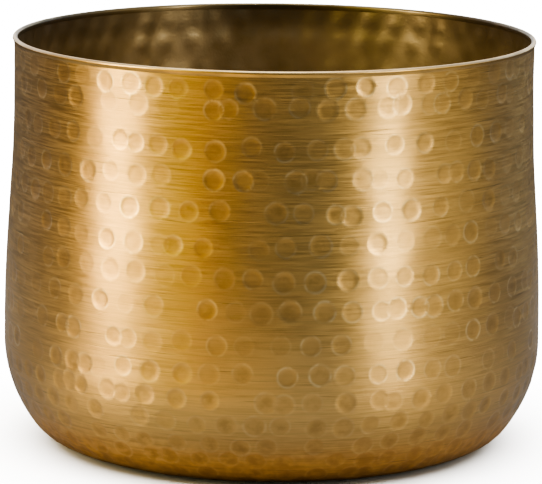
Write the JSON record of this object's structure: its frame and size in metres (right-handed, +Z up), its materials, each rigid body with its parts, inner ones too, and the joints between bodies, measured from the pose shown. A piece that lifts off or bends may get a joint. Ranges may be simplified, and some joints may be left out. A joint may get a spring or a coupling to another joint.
{
  "type": "planter pot",
  "caption": "Round open hammered brass planter pot with straight upper sides, a slight belly, a rounded heel, a fine rim bead, a flat soldered base and low rubber feet.",
  "frame": {"origin": "on the pot's axis, in the plane that the rubber feet stand on", "axes": "+Z up along the pot's axis; -Y towards the side that is seen from the front"},
  "size_m": [0.2392, 0.2392, 0.1813],
  "materials": {
    "hammered_brass": "brushed antique brass, hammered",
    "base_brass": "dull spun sheet",
    "polished_rim": "polished bead",
    "foot_rubber": "matt black rubber"
  },
  "bodies": {
    "root": {"side_wall": "hammered_brass", "base_plate": "base_brass", "rim_ring": "polished_rim", "rubber_foot_1": "foot_rubber", "rubber_foot_2": "foot_rubber", "rubber_foot_3": "foot_rubber", "rubber_foot_4": "foot_rubber"}
  },
  "joints": []
}
